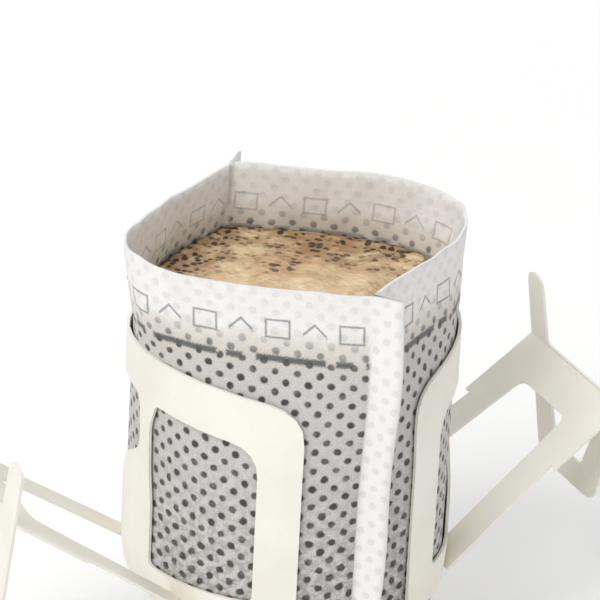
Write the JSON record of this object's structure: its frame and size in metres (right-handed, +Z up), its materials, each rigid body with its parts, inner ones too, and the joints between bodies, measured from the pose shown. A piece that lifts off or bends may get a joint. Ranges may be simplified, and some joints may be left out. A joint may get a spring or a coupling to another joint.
{
  "type": "drip coffee bag",
  "caption": "Opened single-cup drip coffee filter bag of non-woven fabric, hung by two folded card ears that hook over a cup's rim, with wet ground coffee inside.",
  "frame": {"origin": "middle of the bottom seal's lower edge", "axes": "+Z up to the torn mouth, +X from one card ear to the other, +Y from one side seal to the other"},
  "size_m": [0.0884, 0.074, 0.068],
  "materials": {
    "non_woven": "matt, thermally bonded white fibre with a grid of bond points",
    "card": "matt uncoated off-white card, 0.4 mm",
    "wet_coffee": "wet, with a tan bloom and dark grounds"
  },
  "bodies": {
    "root": {"filter_bag": "non_woven", "ground_coffee": "wet_coffee", "right_hanger": "card", "left_hanger": "card"}
  },
  "joints": []
}
